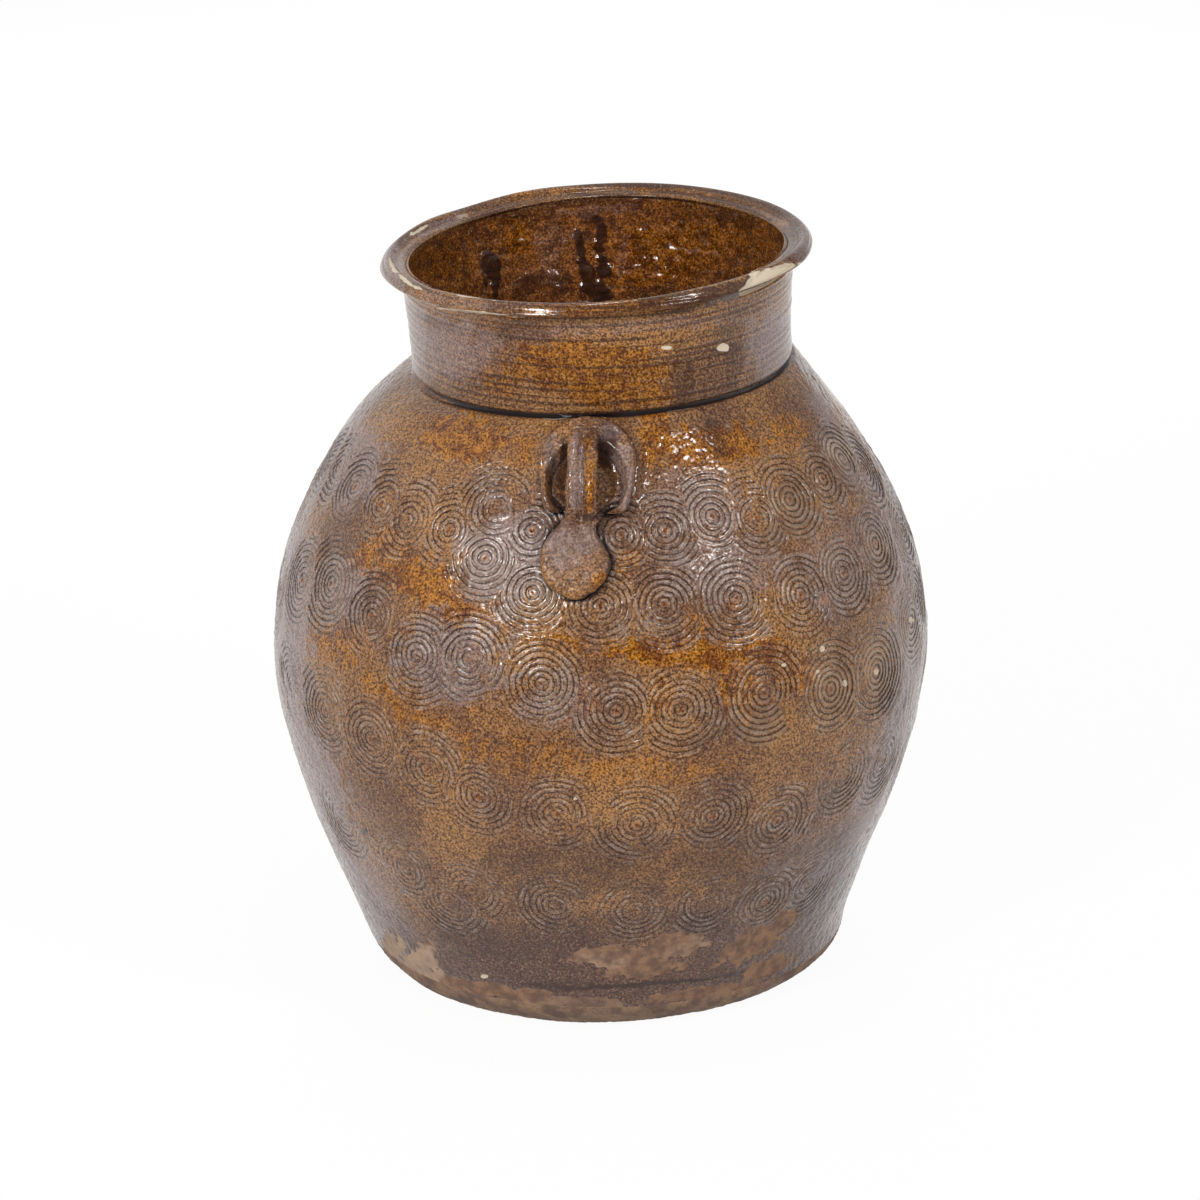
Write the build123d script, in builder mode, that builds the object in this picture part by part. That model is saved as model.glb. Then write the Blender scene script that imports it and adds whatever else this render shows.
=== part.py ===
"""Martaban jar: a stoneware storage jar built in courses on a slab, with a thrown neck,
a rolled lip and two lugs pressed on below the neck.

Millimetres, +Z up.  The floor is Z = 0 and the Z axis runs through the middle of the belly.
The front lug faces -Y and the back lug faces +Y.
"""

from build123d import *
from math import cos, radians, sin, tan
import os

# Body: outside sizes
belly_radius = 132.5
belly_height = 137.0
foot_radius = 98.0
foot_flare = 21.0
underside_radius = 81.5
seat_height = 252.0
seat_slope = 40.0
body_lean = 0.7

# Where the outline passes between the foot, the belly and the neck
lower_radius_share = 0.675
lower_height_share = 0.5
upper_radius_share = 0.685
upper_height_share = 0.548

# Body: clay
slab_thickness = 12.0
foot_wall = 12.0
body_wall = 8.0
inside_shares = (0.25, 0.48, 0.70, 0.86)
course_count = 5
joint_bevel = 30.0

# Neck and lip
neck_radius = 76.0
neck_ledge = 1.5
seat_radius = neck_radius + neck_ledge
neck_offset = 1.6
neck_tilt = 2.2
neck_wall = 4.7
neck_bore_radius = neck_radius - neck_wall
bore_ease = 1.0
bore_run = 12.0
collar_spread = 2.5
collar_top_radius = neck_radius + collar_spread
collar_waist = 0.95
collar_height = 38.0
collar_joint_rise = 3.0
groove_radius = 1.8
groove_lift = 0.8
lip_height = 10.0
lip_overhang = 8.0
lip_radius = collar_top_radius + lip_overhang
lip_thickness = 6.0
lip_inside_edge = 4.0

# Lug apron: the horseshoe of clay pressed on below the neck
apron_gap = 1.5
apron_length = 38.0
apron_left = 17.0
apron_right = 20.0
apron_thickness = 6.0
apron_shoulder = 18.0
apron_foot_inset = 3.0
apron_foot_round = 1.6
apron_rim = 4.5
apron_crown = 9.0
apron_slope = 35.0
apron_edge = 1.8

# Lug pad: the thumb-pressed disc that holds the strap's lower end
pad_distance = 56.0
pad_width = 28.0
pad_length = 34.0
pad_thickness = 5.5
pad_edge = 2.4

# Lug strap: the grooved loop from the apron's crown to the pad
strap_width = 12.0
strap_thickness = 5.0
strap_start = 8.0
strap_end = 44.0
strap_root = 0.5
strap_rise = 8.5
strap_side = 2.5
strap_groove_width = 3.4
strap_groove_depth = 2.2
strap_groove_edge = 0.9

# Cuts run this far past what they cut
overrun = 2.0


def leaning_plane(centre, angle):
    """Section plane through +X whose upright leans by an angle towards +X."""
    lean = radians(angle)
    return Plane(origin=centre, x_dir=(cos(lean), 0, -sin(lean)), z_dir=(0, -1, 0))


def save(piece, name):
    """Label a finished piece and write its file."""
    piece.part.label = name
    export_step(piece.part, f"parts/{name}.step")


os.makedirs("parts", exist_ok=True)

# The body leans about the middle of the belly, and the neck leans back the other way
lean = radians(body_lean)
foot_centre = (-belly_height * sin(lean), 0, belly_height - belly_height * cos(lean))
body_plane = leaning_plane(foot_centre, body_lean)
body_axis = Axis(body_plane.origin, body_plane.y_dir)
seat_plane = Plane.XY.offset(seat_height)
neck_centre = ((seat_height - belly_height) * tan(lean) + neck_offset, 0, seat_height)
neck_plane = leaning_plane(neck_centre, -neck_tilt)
neck_axis = Axis(neck_plane.origin, neck_plane.y_dir)

# Outside of the wall, from the slab up to the neck, as radius and height
lower_radius = foot_radius + (belly_radius - foot_radius) * lower_radius_share
lower_height = slab_thickness + (belly_height - slab_thickness) * lower_height_share
upper_radius = seat_radius + (belly_radius - seat_radius) * upper_radius_share
upper_height = belly_height + (seat_height - belly_height) * upper_height_share
foot_tangent = Vector(sin(radians(foot_flare)), cos(radians(foot_flare)))
seat_tangent = Vector(-sin(radians(seat_slope)), cos(radians(seat_slope)))

with BuildLine() as body_outline:
    outline = Spline(
        (foot_radius, slab_thickness),
        (lower_radius, lower_height),
        (belly_radius, belly_height),
        (upper_radius, upper_height),
        (seat_radius, seat_height),
        tangents=(foot_tangent, seat_tangent),
    )


def outline_frame(length):
    """Point, upward tangent and outward normal of the outline at a length from the slab."""
    point = outline.position_at(length, PositionMode.LENGTH)
    tangent = outline.tangent_at(length, PositionMode.LENGTH)
    return point, tangent, Vector(tangent.Y, -tangent.X)


# The wall runs on above the seat, so that the level cut leaves it whole all round
seat_reach = seat_radius * tan(lean) + overrun
outline_top = outline @ 1
wall_top = outline_top + seat_tangent * seat_reach

with BuildSketch() as wall_section:
    with BuildLine():
        add(body_outline.line)
        Line(outline_top, wall_top)
        Line(wall_top, (neck_bore_radius, wall_top.Y))
        Line((neck_bore_radius, wall_top.Y), (neck_bore_radius, seat_height))
        inside_points = [Vector(foot_radius - foot_wall, slab_thickness)]
        for inside_share in inside_shares:
            point, tangent, normal = outline_frame(outline.length * inside_share)
            inside_points.append(point - normal * body_wall)
        inside_points.append(Vector(neck_bore_radius, seat_height))
        Spline(*inside_points)
        Line(inside_points[0], (foot_radius, slab_thickness))
    make_face()

# Everything inside the outline, used to seat the lugs on the wall
with BuildPart() as body_core:
    with BuildSketch(body_plane):
        with BuildLine():
            add(body_outline.line)
            Line(outline_top, wall_top)
            Polyline(wall_top, (0, wall_top.Y), (0, slab_thickness), (foot_radius, slab_thickness))
        make_face()
    revolve(axis=body_axis)

# Base slab: a disc with a rounded edge, cut level to rest on the floor
with BuildPart() as base_slab:
    with BuildSketch(body_plane):
        with BuildLine():
            slab_edge = TangentArc(
                (foot_radius, slab_thickness),
                (underside_radius, -overrun),
                tangent=-foot_tangent,
            )
            Polyline(slab_edge @ 1, (0, -overrun), (0, slab_thickness), slab_edge @ 0)
        make_face()
    revolve(axis=body_axis)
    split(bisect_by=Plane.XY, keep=Keep.TOP)
save(base_slab, "base_slab")


def joint_ends(index):
    """Outside and inside end of the bevelled joint below a course, past both faces."""
    point, tangent, normal = outline_frame(outline.length * index / course_count)
    if index == 0:
        point = point - tangent * foot_wall
    if index == course_count:
        point = point + tangent * foot_wall
    inward = -normal * cos(radians(joint_bevel)) - tangent * sin(radians(joint_bevel))
    return point - inward * foot_wall, point + inward * foot_wall * 2


# Courses: bands of the same wall, whose bevelled ends lie on each other
course_names = ("foot_course", "lower_course", "belly_course", "upper_course", "shoulder_course")
for index in range(course_count):
    with BuildPart() as course:
        with BuildSketch(body_plane):
            add(wall_section.sketch)
            with BuildLine():
                lower_outside, lower_inside = joint_ends(index)
                upper_outside, upper_inside = joint_ends(index + 1)
                Polyline(lower_outside, upper_outside, upper_inside, lower_inside, close=True)
            make_face(mode=Mode.INTERSECT)
        revolve(axis=body_axis)
        split(bisect_by=seat_plane, keep=Keep.BOTTOM)
        if index == course_count - 1:
            # The offset neck's bore is trimmed on through the shoulder, a little wider
            with BuildSketch(neck_plane):
                with BuildLine():
                    trim_radius = neck_bore_radius + bore_ease
                    Polyline(
                        (0, bore_run),
                        (trim_radius, bore_run),
                        (trim_radius, -bore_run),
                        (0, -bore_run),
                        close=True,
                    )
                make_face()
            revolve(axis=neck_axis, mode=Mode.SUBTRACT)
    save(course, course_names[index])

# Neck collar: thrown on the shoulder, with an incised line round its foot
collar_reach = neck_radius * tan(radians(neck_tilt)) + overrun
with BuildPart() as neck_collar:
    with BuildSketch(neck_plane):
        with BuildLine():
            Polyline(
                (collar_top_radius, collar_height),
                (neck_bore_radius, collar_height + collar_joint_rise),
                (neck_bore_radius, -collar_reach),
                (neck_radius, -collar_reach),
                (neck_radius, 0),
            )
            ThreePointArc(
                (neck_radius, 0),
                (neck_radius + collar_spread / 2 - collar_waist, collar_height / 2),
                (collar_top_radius, collar_height),
            )
        make_face()
    revolve(axis=neck_axis)
    split(bisect_by=seat_plane, keep=Keep.TOP)
    with BuildSketch(Plane.XZ):
        with Locations((neck_centre[0] + neck_radius, seat_height + groove_lift)):
            Circle(groove_radius)
    revolve(axis=Axis(neck_centre, (0, 0, 1)), mode=Mode.SUBTRACT)
save(neck_collar, "neck_collar")

# Rim lip: the coil rolled out over the collar
lip_top = collar_height + lip_height
lip_under = lip_top - lip_thickness
roll_radius = lip_thickness / 2
with BuildPart() as rim_lip:
    with BuildSketch(neck_plane):
        with BuildLine():
            inner = Line(
                (neck_bore_radius, collar_height + collar_joint_rise),
                (neck_bore_radius, lip_top - lip_inside_edge),
            )
            inside_edge = TangentArc(
                inner @ 1,
                (neck_bore_radius + lip_inside_edge, lip_top),
                tangent=(0, 1),
            )
            top = Line(inside_edge @ 1, (lip_radius - roll_radius, lip_top))
            roll = TangentArc(top @ 1, (lip_radius - roll_radius, lip_under), tangent=(1, 0))
            under = TangentArc(roll @ 1, (collar_top_radius, collar_height), tangent=(-1, 0))
            Line(under @ 1, inner @ 0)
        make_face()
    revolve(axis=neck_axis)
save(rim_lip, "rim_lip")


# Lugs: the front one is drawn in the section plane that faces -Y, and the back one mirrors it
section_plane = Plane(origin=body_plane.origin, x_dir=(0, -1, 0), z_dir=-body_plane.x_dir)


def surface_plane(distance):
    """Plane that touches the wall at a distance below the neck: across, up the slope, outward."""
    point, tangent, normal = outline_frame(outline.length - distance)
    up_slope = section_plane.x_dir * tangent.X + section_plane.y_dir * tangent.Y
    outward = section_plane.x_dir * normal.X + section_plane.y_dir * normal.Y
    origin = section_plane.from_local_coords(point)
    return Plane(origin=origin, x_dir=up_slope.cross(outward), z_dir=outward)


def point_over_wall(distance, height):
    """Radius and height of the point that stands over the wall at a distance below the neck."""
    point, tangent, normal = outline_frame(outline.length - distance)
    place = point + normal * height
    return place.X, place.Y


def top_edges(piece, plane):
    """Edges of the face that lies furthest out along a plane's normal."""
    return piece.faces().sort_by(Axis(plane.origin, plane.z_dir))[-1].edges()


apron_plane = surface_plane(apron_gap + apron_length / 2)


def horseshoe(side_inset, crown_inset, foot_reach):
    """The apron's outline, drawn in at its sides and crown and run on past its feet."""
    side_height = apron_length / 2 - apron_shoulder
    foot_height = -apron_length / 2 - foot_reach
    left = side_inset - apron_left
    right = apron_right - side_inset
    with BuildSketch() as shape:
        with BuildLine():
            crown = ThreePointArc(
                (left, side_height), (0, apron_length / 2 - crown_inset), (right, side_height)
            )
            left_side = TangentArc(
                crown @ 0, (left + apron_foot_inset, foot_height), tangent=-(crown % 0)
            )
            right_side = TangentArc(
                crown @ 1, (right - apron_foot_inset, foot_height), tangent=crown % 1
            )
            Line(left_side @ 1, right_side @ 1)
        make_face()
    return shape.sketch


# Apron: a horseshoe scooped out towards the wall, open at the bottom
scoop_depth = apron_thickness + overrun
scoop_inset = scoop_depth * tan(radians(apron_slope))
with BuildPart() as lug_apron:
    with BuildSketch(apron_plane.offset(-scoop_depth)) as apron_blank:
        add(horseshoe(0, 0, 0))
        fillet(apron_blank.vertices().group_by(Axis.Y)[0], apron_foot_round)
    extrude(amount=scoop_depth + apron_thickness)
    fillet(top_edges(lug_apron, apron_plane), apron_edge)
    with BuildSketch(apron_plane.offset(apron_thickness)):
        add(horseshoe(apron_rim, apron_crown, overrun))
    with BuildSketch(apron_plane.offset(-overrun)):
        add(horseshoe(apron_rim + scoop_inset, apron_crown + scoop_inset, overrun))
    loft(ruled=True, mode=Mode.SUBTRACT)
    add(body_core.part, mode=Mode.SUBTRACT)

# Pad: a thumb-pressed disc
pad_plane = surface_plane(pad_distance)
with BuildPart() as lug_pad:
    with BuildSketch(pad_plane.offset(-pad_thickness)):
        Ellipse(pad_width / 2, pad_length / 2)
    extrude(amount=pad_thickness * 2)
    fillet(top_edges(lug_pad, pad_plane), pad_edge)
    add(body_core.part, mode=Mode.SUBTRACT)

# Strap: two ridges and the groove between them, bent from the crown down to the pad
strap_middle = (strap_start + strap_end) / 2
half_width = strap_width / 2
half_groove = strap_groove_width / 2
ridge_top = (half_width + half_groove) / 2
ridge_edge = strap_thickness - strap_groove_edge
with BuildPart() as lug_strap:
    with BuildLine(section_plane) as strap_path:
        ThreePointArc(
            point_over_wall(strap_start, strap_root),
            point_over_wall(strap_middle, strap_rise),
            point_over_wall(strap_end, strap_root),
        )
    strap_end_plane = Plane(
        origin=strap_path.line @ 0, x_dir=apron_plane.x_dir, z_dir=strap_path.line % 0
    )
    with BuildSketch(strap_end_plane):
        with BuildLine():
            right_ridge = ThreePointArc(
                (half_width, strap_side), (ridge_top, strap_thickness), (half_groove, ridge_edge)
            )
            left_ridge = ThreePointArc(
                (-half_groove, ridge_edge), (-ridge_top, strap_thickness), (-half_width, strap_side)
            )
            ThreePointArc(
                right_ridge @ 1, (0, strap_thickness - strap_groove_depth), left_ridge @ 0
            )
            Polyline(left_ridge @ 1, (-half_width, 0), (half_width, 0), right_ridge @ 0)
        make_face()
    sweep(path=strap_path.line)
    add(body_core.part, mode=Mode.SUBTRACT)
    add(lug_apron.part, mode=Mode.SUBTRACT)
    add(lug_pad.part, mode=Mode.SUBTRACT)

for piece_name, piece in (("apron", lug_apron), ("pad", lug_pad), ("strap", lug_strap)):
    with BuildPart() as back_piece:
        mirror(piece.part, about=Plane.XZ)
    save(piece, f"front_lug_{piece_name}")
    save(back_piece, f"back_lug_{piece_name}")
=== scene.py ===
from math import cos, pi, radians, sin, tan

import bpy
import numpy as np
from mathutils import Matrix
from mathutils.kdtree import KDTree


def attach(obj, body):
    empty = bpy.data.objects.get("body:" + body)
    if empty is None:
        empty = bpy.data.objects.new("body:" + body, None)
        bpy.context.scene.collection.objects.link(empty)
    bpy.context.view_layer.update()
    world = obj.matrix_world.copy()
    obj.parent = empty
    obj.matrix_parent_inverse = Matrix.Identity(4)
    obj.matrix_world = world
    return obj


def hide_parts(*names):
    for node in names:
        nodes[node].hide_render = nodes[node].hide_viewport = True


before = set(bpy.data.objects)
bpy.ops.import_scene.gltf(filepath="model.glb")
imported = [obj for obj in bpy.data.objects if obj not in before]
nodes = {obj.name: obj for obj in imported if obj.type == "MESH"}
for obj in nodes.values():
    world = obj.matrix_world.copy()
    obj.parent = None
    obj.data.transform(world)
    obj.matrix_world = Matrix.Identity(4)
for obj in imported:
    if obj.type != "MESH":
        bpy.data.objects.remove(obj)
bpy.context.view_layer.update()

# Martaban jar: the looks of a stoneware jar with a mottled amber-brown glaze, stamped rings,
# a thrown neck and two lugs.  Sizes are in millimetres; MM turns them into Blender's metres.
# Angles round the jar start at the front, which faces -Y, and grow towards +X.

MM = 0.001

# The photograph's camera
image_size = 1200
sensor_width = 36.0
focal_pixels = 5426.0
camera_distance = 2194.0
camera_elevation = 20.4
camera_azimuth = 4.0
camera_roll = -1.2
camera_target_height = 148.1
camera_reach = 100.0

# The jar's own frame, as in the part
body_lean = 0.7
belly_height = 137.0
slab_thickness = 12.0
seat_height = 252.0
neck_tilt = 2.2
neck_offset = 1.6
course_count = 5
joint_bevel = 30.0

foot_radius = 98.0
foot_flare = 21.0
underside_radius = 81.5
edge_depth = 2.0

# The neck and its lip, along the neck's own axis
neck_radius = 76.0
bore_radius = 71.3
collar_top_radius = 78.5
collar_waist = 0.95
collar_height = 38.0
collar_joint_rise = 3.0
lip_top = 48.0
lip_radius = 86.5
lip_thickness = 6.0
lip_inside_edge = 3.0
bore_flare = 4.0
lip_crown = 2.5
crest_shift = 2.0

# The neck's foot: the body bends in to it over a length, it lies lower at the left and a groove
# runs round it
seat_bend = 7.0
seat_tilt = 2.4
seat_sag = 1.1
collar_reach = 14.0
shoulder_reach = 26.0
groove_depth = 1.7
groove_width = 1.0
groove_line = 0.7
groove_black = 1.7

# Rows this near to a foot or to the body's top lie level instead of square to the leaning axis
level_reach = 10.0
level_top = 14.0

# Warping from the fire: how far the rim sags, by degrees from the front towards the right, and
# how far the foot sits to the right, with a shallow hollow above it
rim_sag = (
    (-180, 0.2), (-150, 1.3), (-120, 3.0), (-90, 2.0), (-60, 0.7), (-30, 0.0), (30, 0.0), (90, 0.7),
    (120, 2.8), (150, 1.2), (180, 0.2),
)
sag_blur = 18.0
sag_inward = 0.4
sag_down = 0.65
foot_shift = 1.5
foot_spread = 1.2
foot_reach = 24.0
hollow_depth = 1.5
hollow_height = 46.0
hollow_reach = 24.0

# Vertices of the part's courses this near to the outside are outside, this far from it inside, and
# the degree of the curves through them
outside_skin = 1.0
inside_skin = 6.0
curve_degree = 11

# Marks fade where the surface turns away from the camera
facing_blur = 0.08

# Mesh: columns round the jar, and the steps from row to row
columns = 1440
wall_step = 0.6
foot_step = 0.8
neck_step = 0.45
inside_step = 3.0
outline_step = 0.2
map_sectors = 3
map_margin = 0.01

# Base slab: rings of its two flat faces, as shares of their radius, how uneven and curved the faces
# are, and the width of the joint with the wall
disc_shares = np.array([0.97, 0.9, 0.8, 0.65, 0.5, 0.35, 0.2, 0.08])
disc_lumps = 0.35
joint_width = 14.0
underside_hollow = 0.8
floor_swell = 0.6

# Lugs
lug_voxel = 0.55
lug_softening = 3
lug_lumps = 0.16
lug_chips = 0.3
lug_reach = 42.0
pad_slip = -2.0
pad_slip_length = 8.0
strap_foot = 221.0
smear_height = 2.0
smear_reach = 5.0
# Painted shadow round the lug: on the wall along its edge, and on its foot where it meets the wall
seam_shadow_reach = 2.2
crack_shadow_height = 1.2
pad_middle = (-2.5, 203.0)
pad_taper = 0.34
taper_blur = 3.0
# Darkness of the painted shadow on the lug's foot and on the wall beside it
crack_shadow_strength = 0.9
seam_shadow_strength = 1.6
lug_sink = 1.6
lug_contact = 2.5

# The inside's darker glaze begins this far before the bore
deep_reach = 5.0

# Light: the room and the floor glow, less in reflections, and soft lamps stand round the jar.
# Two lamps are mirrored towards the camera where the photograph shows their gleams, one by a slope
# at the neck, and one lights the back.  A lamp has its side in metres and its power in watts.
room_light = 0.52
dark_front = 0.12
dim_right = 0.5
dull_floor = 0.25
floor_glow = 0.95
floor_reach = 8.0
lamp_distance = 1.6
left_gleam = (514, 584)
left_lamp = (0.28, 14)
right_gleam = (706, 545)
right_lamp = (0.22, 7.5)
top_gleam_rise = 52.0
top_lamp = (0.22, 4)
back_light = (-0.1, 0.93, 0.32)
back_lamp = (0.6, 9)

# Depths of a press: bare clay and cream specks lie lower, dark runs inside stand out
bare_depth = 0.25
speck_depth = 0.4
lip_speck_depth = 0.3
chip_depth = 1.3
run_rise = 0.5
bare_blur = 3.0

# Unevenness: a base value and soft waves on it, each with its strength, length and seed, and for
# some how many waves it is made of and how it is squashed.  The bare edge is a height over the floor.
wall_uneven = (0.4, (0.28, 70, 1), (0.14, 26, 2))
wall_coils = (0, (0.22, 34, 3, 14, (0.25, 0.25, 1)))
wall_pits = (0, (0.08, 2.6, 4, 24), (0.07, 6, 8))
# Patches of painted grazing sheen along the jar's sides
side_sheen_patches = (0.45, (0.5, 60, 53), (0.3, 18, 54))
bare_edge = (7.0, (3.5, 55, 61), (2.0, 14, 62))
ring_wobbles = (0, (0.22, 16, 21), (0.1, 6, 22))
ring_patches = (0.9, (0.4, 28, 23), (0.45, 7, 24))
neck_turning = (0, (1, 1.6, 5, 24, (0.012, 0.012, 1)))
neck_uneven = (0.2, 40, 6)
inside_blobs = (0, (0.22, 8, 63), (0.12, 3.5, 64))
inside_coils = (0, (-0.5, 12, 7, 14, (0.1, 0.1, 1)))

# Stamps: their rings, how they fade and meet, the span of their random sizes and ranks, how much
# one is pressed in at one side, and how far round the back they go, in radians
ring_pitch = 2.4
ring_depth = 0.5
stamp_fade = 0.4
stamp_spread = 1.3
stamp_seam = 0.08
dish_seam = 0.35
stamp_dish = 0.5
stamp_sizes = (0.92, 1.08)
stamp_ranks = (0.8, 1.2)
stamp_seed = 11
stamp_tipping = 0.75
back_span = 1.75
row_jitter = 5.0
column_jitter = 0.03

# What is painted, as marks in the photograph: middle x and y, half width, half height, turn, strength
body_marks = {
    "amber": (
        (462, 436, 44, 22, 10, 0.9), (525, 450, 26, 20, 0, 0.5), (655, 440, 18, 28, 0, 0.8),
        (712, 446, 52, 20, -5, 0.9), (790, 430, 22, 18, 30, 0.5), (385, 548, 26, 24, 20, 0.8),
        (412, 572, 50, 24, 20, 0.9), (450, 606, 40, 18, 12, 0.8), (362, 560, 16, 14, 0, 0.7),
        (678, 654, 78, 15, 5, 1.0), (762, 648, 34, 14, 12, 0.8), (790, 668, 26, 20, 40, 0.9),
        (741, 690, 20, 26, 0, 0.8), (660, 700, 16, 20, 0, 0.6), (590, 700, 14, 22, 0, 0.5),
        (560, 645, 34, 12, 0, 0.5), (335, 645, 34, 24, 20, 0.5), (400, 705, 50, 24, 25, 0.5),
        (520, 756, 90, 24, 5, 0.4), (650, 768, 90, 26, 0, 0.4), (735, 600, 10, 12, 0, 0.6),
        (630, 560, 14, 16, 0, 0.5), (700, 625, 20, 10, 0, 0.5), (470, 700, 24, 16, 20, 0.4),
    ),
    # Grey: worn glaze, and painted grazing sheen in the strips along the jar's edges
    "grey": (
        (286, 640, 26, 130, 3, 0.9), (345, 462, 44, 34, -48, 0.7), (312, 780, 26, 80, -22, 0.8),
        (912, 620, 20, 80, 0, 0.5), (870, 470, 26, 60, -35, 0.4), (886, 770, 26, 80, 22, 0.45),
        (820, 850, 60, 50, -30, 0.25), (452, 662, 60, 44, 20, 0.45), (505, 560, 44, 50, 10, 0.6),
        (730, 570, 60, 34, 0, 0.35), (360, 880, 34, 60, -30, 0.5), (700, 500, 50, 34, 0, 0.35),
        (330, 590, 34, 30, 20, 0.5), (560, 700, 44, 30, 0, 0.3), (840, 560, 40, 60, 0, 0.35),
    ),
    "dark": (
        (396, 784, 46, 28, 22, 0.25), (364, 833, 4, 4, 0, 1.0), (714, 436, 10, 26, -20, 0.5),
        (610, 868, 140, 34, 0, 0.42), (742, 866, 90, 38, -8, 0.45), (640, 930, 110, 24, -4, 0.35),
        (470, 880, 70, 44, 15, 0.25), (500, 942, 70, 20, 10, 0.4), (850, 800, 34, 40, 30, 0.3),
        (800, 900, 44, 16, -25, 0.3), (556, 988, 60, 6, 0, 0.4), (640, 985, 92, 2.4, -4, 0.8),
        (545, 987, 50, 2, 4, 0.6), (735, 974, 40, 2.2, -12, 0.7),
        (860, 800, 40, 60, 24, 0.35), (903, 700, 24, 90, 4, 0.5), (820, 870, 64, 44, -30, 0.5),
        (640, 480, 30, 24, 0, 0.25), (450, 480, 60, 24, 0, 0.2), (452, 660, 60, 40, 20, 0.4),
        (540, 690, 30, 30, 0, 0.25),
    ),
    # Pale worn clay at the foot, and painted glints on the rings' ridges higher up
    "wear_and_glint": (
        (840, 452, 14, 18, 0, 0.9), (882, 543, 18, 14, 0, 0.6), (884, 668, 22, 24, 0, 0.7),
        (911, 645, 14, 26, 0, 0.8), (836, 690, 26, 24, 0, 0.5), (765, 720, 40, 26, 0, 0.35),
        (485, 560, 30, 26, 0, 0.4), (530, 600, 30, 20, 0, 0.4), (800, 520, 40, 40, 0, 0.3),
        (418, 962, 34, 18, 24, 1.0), (392, 944, 14, 16, 0, 0.9), (600, 964, 30, 8, -6, 0.5),
        (690, 948, 26, 8, -20, 0.5), (560, 1002, 60, 5, 2, 0.35),
    ),
}
cream_marks = (
    (824, 649, 3, 3, 0, 0.8), (785, 665, 3, 2, 0, 0.7), (820, 672, 2, 2, 0, 0.8), (484, 977, 4, 2, 0, 1.0),
    (914, 620, 3, 3, 0, 0.8), (848, 684, 3, 4, 0, 0.5), (879, 672, 3, 3, 0, 0.6), (575, 800, 2, 2, 0, 0.6),
)
bare_marks = (
    (618, 958, 46, 10, -4, 1.0), (672, 947, 34, 11, -10, 1.0), (645, 970, 40, 9, -8, 0.9),
    (752, 944, 34, 13, -28, 1.0), (786, 920, 12, 9, -40, 0.9), (768, 968, 34, 10, -22, 0.6),
    (392, 946, 10, 14, -20, 1.0), (412, 966, 16, 10, 30, 1.0), (446, 984, 26, 10, 22, 1.0),
    (486, 990, 20, 8, 8, 0.8), (700, 993, 60, 7, -8, 0.6), (575, 1004, 60, 8, 2, 0.5),
    (520, 996, 34, 9, 6, 0.8), (424, 958, 16, 16, 20, 0.7),
)
collar_marks = {
    "amber": ((580, 366, 96, 26, 0, 0.7), (620, 395, 60, 14, 0, 0.8), (500, 380, 40, 16, 4, 0.5)),
    # Grey: painted sheen at the neck's left and right sides, and worn glaze
    "grey": (
        (774, 345, 26, 40, 0, 0.7), (413, 345, 14, 40, 0, 0.7), (455, 350, 44, 30, 6, 0.5),
        (640, 326, 120, 8, -4, 0.3),
    ),
    "dark": (
        (684, 384, 15, 40, 4, 0.55), (734, 372, 12, 34, 3, 0.45), (726, 330, 26, 8, -12, 0.45),
        (708, 356, 40, 34, 0, 0.3), (430, 395, 40, 16, 30, 0.4), (766, 375, 26, 30, 0, 0.4),
        (750, 320, 50, 16, -8, 0.3), (600, 385, 200, 30, 0, 0.3), (470, 330, 60, 20, 8, 0.3),
    ),
    "cream": ((667, 348, 5, 2, 0, 0.9), (724, 348, 6, 4, 0, 0.9)),
}
lip_marks = {
    # Grey: worn glaze on the lip, and painted sheen at its left and right ends
    "grey": (
        (390, 268, 14, 28, 0, 0.7), (440, 224, 40, 6, -22, 0.4), (450, 300, 50, 5, 8, 0.3),
        (804, 250, 10, 24, 0, 0.4),
    ),
    "cream": (
        (393, 265, 2.4, 10, -25, 0.6), (405, 279, 11, 2.4, 42, 0.6), (419, 288, 9, 2, 24, 0.5),
        (478, 296, 26, 2.2, 8, 0.5), (472, 312, 50, 1.6, 6, 0.5), (420, 229, 12, 2.4, -30, 0.5),
        (465, 214, 10, 2, -16, 0.4), (756, 272, 6, 1.6, -15, 0.8), (801, 264, 3, 2, 0, 0.9),
    ),
    "dark": (
        (600, 308, 120, 12, -2, 0.35), (560, 200, 110, 12, -5, 0.4), (480, 300, 70, 12, 10, 0.3),
        (700, 296, 70, 12, -8, 0.6), (745, 205, 60, 14, 12, 0.5), (640, 190, 80, 10, 0, 0.4),
        (795, 245, 20, 26, 0, 0.5), (420, 235, 40, 14, -30, 0.35), (395, 280, 20, 16, 20, 0.3),
    ),
    "amber": (
        (700, 200, 70, 9, 8, 0.6), (760, 225, 30, 8, 30, 0.5), (610, 306, 110, 8, -4, 0.5),
        (540, 192, 60, 8, -8, 0.4),
    ),
}
chip_marks = (
    (772, 280, 26, 14, -28, 1.0), (754, 290, 13, 8, -22, 1.0), (787, 271, 12, 9, -20, 1.0),
    (776, 288, 22, 10, -28, 1.0),
)
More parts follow.
